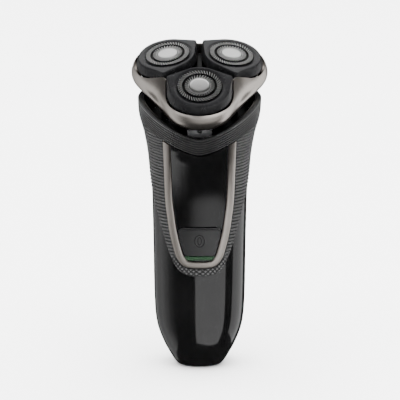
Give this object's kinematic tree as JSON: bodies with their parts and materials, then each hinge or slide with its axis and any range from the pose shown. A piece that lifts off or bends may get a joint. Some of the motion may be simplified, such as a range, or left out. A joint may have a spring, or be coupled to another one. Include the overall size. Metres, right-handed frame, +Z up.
{
  "type": "electric shaver",
  "caption": "Rotary electric shaver: floating cutter pods in a tilting flip-open head on a rubber-gripped handle with a charging inlet.",
  "frame": {"origin": "centre of the base, at the mouth of the charging inlet", "axes": "+Z up the handle, -Y towards the front with the power button, +X to the right seen from the front"},
  "size_m": [0.0632, 0.0591, 0.1529],
  "materials": {
    "gloss_black": "moulded, polished",
    "satin_black": "moulded, satin",
    "soft_rubber": "textured",
    "satin_nickel": "satin plated",
    "cutter_steel": "stamped and ground",
    "disc_metal": "fine brushed",
    "plain_steel": "plain",
    "green_lens": "tinted",
    "clear_plastic": "clear",
    "copper": "plain",
    "board": "solder mask",
    "cell_wrap": "shrink sleeve",
    "white_plastic": "moulded",
    "dark_plastic": "moulded",
    "magnet": "sintered",
    "lead_insulation": "extruded"
  },
  "bodies": {
    "handle": {"front_shell": "gloss_black", "rear_shell": "gloss_black", "base_cap": "gloss_black", "collar_band": "soft_rubber", "side_grip": "soft_rubber", "trim_strip": "satin_nickel", "centre_panel": "gloss_black", "led_lens": "green_lens", "top_deck": "satin_black", "neck_seal": "soft_rubber", "chassis": "white_plastic", "battery_cell": "cell_wrap", "battery_tabs": "plain_steel", "circuit_board": "board", "power_switch": "plain_steel", "status_led": "clear_plastic", "charge_inlet": "satin_black", "contact_pins": "copper", "motor_can": "plain_steel", "motor_endcap": "dark_plastic", "motor_magnets": "magnet", "motor_bracket": "white_plastic", "case_screws": "plain_steel", "motor_leads": "lead_insulation"},
    "power_button": {"power_button": "satin_black"},
    "rotor": {"armature": "copper", "drive_shaft": "plain_steel"},
    "gimbal": {"gimbal_ring": "plain_steel"},
    "head_base": {"hair_chamber": "satin_black", "gear_cover": "dark_plastic", "hinge_pin": "plain_steel"},
    "drive_gear": {"centre_gear": "white_plastic"},
    "release_button": {"release_button": "satin_black"},
    "lid": {"head_bezel": "satin_nickel", "cutter_carrier": "satin_black", "lid_latch": "satin_black"},
    "gear_1": {"cutter_gear_1": "white_plastic"},
    "pod_1": {"pod_shell_1": "satin_black", "foil_cap_1": "cutter_steel", "cap_disc_1": "disc_metal"},
    "blade_1": {"cutter_blade_1": "cutter_steel"},
    "gear_2": {"cutter_gear_2": "white_plastic"},
    "pod_2": {"pod_shell_2": "satin_black", "foil_cap_2": "cutter_steel", "cap_disc_2": "disc_metal"},
    "blade_2": {"cutter_blade_2": "cutter_steel"},
    "gear_3": {"cutter_gear_3": "white_plastic"},
    "pod_3": {"pod_shell_3": "satin_black", "foil_cap_3": "cutter_steel", "cap_disc_3": "disc_metal"},
    "blade_3": {"cutter_blade_3": "cutter_steel"}
  },
  "joints": [
    {"name": "power_press", "type": "slide", "parent": "handle", "child": "power_button", "axis": [0, 1, 0], "range_m": [0, 0.0005], "stiffness_N_per_m": 600},
    {"name": "motor_spin", "type": "hinge", "parent": "handle", "child": "rotor", "pos_m": [0, 0.00299, 0.09], "axis": [0, 0, 1], "continuous": true},
    {"name": "head_pitch", "type": "hinge", "parent": "handle", "child": "gimbal", "pos_m": [0, 0.00299, 0.12275], "axis": [1, 0, 0], "range_deg": [-2, 2], "stiffness_Nm_per_rad": 3},
    {"name": "head_roll", "type": "hinge", "parent": "gimbal", "child": "head_base", "pos_m": [0, 0.00299, 0.12275], "axis": [0, 0.9272, 0.3746], "range_deg": [-1.2, 1.2], "stiffness_Nm_per_rad": 3},
    {"name": "drive_gear_spin", "type": "hinge", "parent": "head_base", "child": "drive_gear", "pos_m": [0, 0.00299, 0.12275], "axis": [0, -0.3746, 0.9272], "continuous": true},
    {"name": "release_press", "type": "slide", "parent": "head_base", "child": "release_button", "axis": [0, 0.9272, 0.3746], "range_m": [0, 0.0006], "stiffness_N_per_m": 600},
    {"name": "lid_open", "type": "hinge", "parent": "head_base", "child": "lid", "pos_m": [0, 0.02131, 0.14201], "axis": [-1, 0, 0], "range_deg": [0, 95]},
    {"name": "gear_1_spin", "type": "hinge", "parent": "head_base", "child": "gear_1", "pos_m": [0, -0.01479, 0.12311], "axis": [0, -0.3746, 0.9272], "continuous": true},
    {"name": "gear_2_spin", "type": "hinge", "parent": "head_base", "child": "gear_2", "pos_m": [0.01416, 0.00795, 0.1323], "axis": [0, -0.3746, 0.9272], "continuous": true},
    {"name": "gear_3_spin", "type": "hinge", "parent": "head_base", "child": "gear_3", "pos_m": [-0.01416, 0.00795, 0.1323], "axis": [0, -0.3746, 0.9272], "continuous": true},
    {"name": "pod_1_float", "type": "slide", "parent": "lid", "child": "pod_1", "axis": [0, 0.515, -0.8572], "range_m": [0, 0.0012], "stiffness_N_per_m": 400, "springref_m": -0.0008},
    {"name": "blade_1_spin", "type": "hinge", "parent": "pod_1", "child": "blade_1", "pos_m": [0, -0.02185, 0.13859], "axis": [0, -0.515, 0.8572], "continuous": true},
    {"name": "pod_2_float", "type": "slide", "parent": "lid", "child": "pod_2", "axis": [-0.1355, 0.2975, -0.9451], "range_m": [0, 0.0012], "stiffness_N_per_m": 400, "springref_m": -0.0008},
    {"name": "blade_2_spin", "type": "hinge", "parent": "pod_2", "child": "blade_2", "pos_m": [0.01481, 0.00193, 0.1482], "axis": [0.1355, -0.2975, 0.9451], "continuous": true},
    {"name": "pod_3_float", "type": "slide", "parent": "lid", "child": "pod_3", "axis": [0.1355, 0.2975, -0.9451], "range_m": [0, 0.0012], "stiffness_N_per_m": 400, "springref_m": -0.0008},
    {"name": "blade_3_spin", "type": "hinge", "parent": "pod_3", "child": "blade_3", "pos_m": [-0.01481, 0.00193, 0.1482], "axis": [-0.1355, -0.2975, 0.9451], "continuous": true}
  ],
  "couplings": [
    {"joint": "drive_gear_spin", "follows": "motor_spin", "ratio": 1},
    {"joint": "gear_1_spin", "follows": "motor_spin", "ratio": -1.1667},
    {"joint": "gear_2_spin", "follows": "motor_spin", "ratio": -1.1667},
    {"joint": "gear_3_spin", "follows": "motor_spin", "ratio": -1.1667},
    {"joint": "blade_1_spin", "follows": "motor_spin", "ratio": -1.1667},
    {"joint": "blade_2_spin", "follows": "motor_spin", "ratio": -1.1667},
    {"joint": "blade_3_spin", "follows": "motor_spin", "ratio": -1.1667}
  ]
}
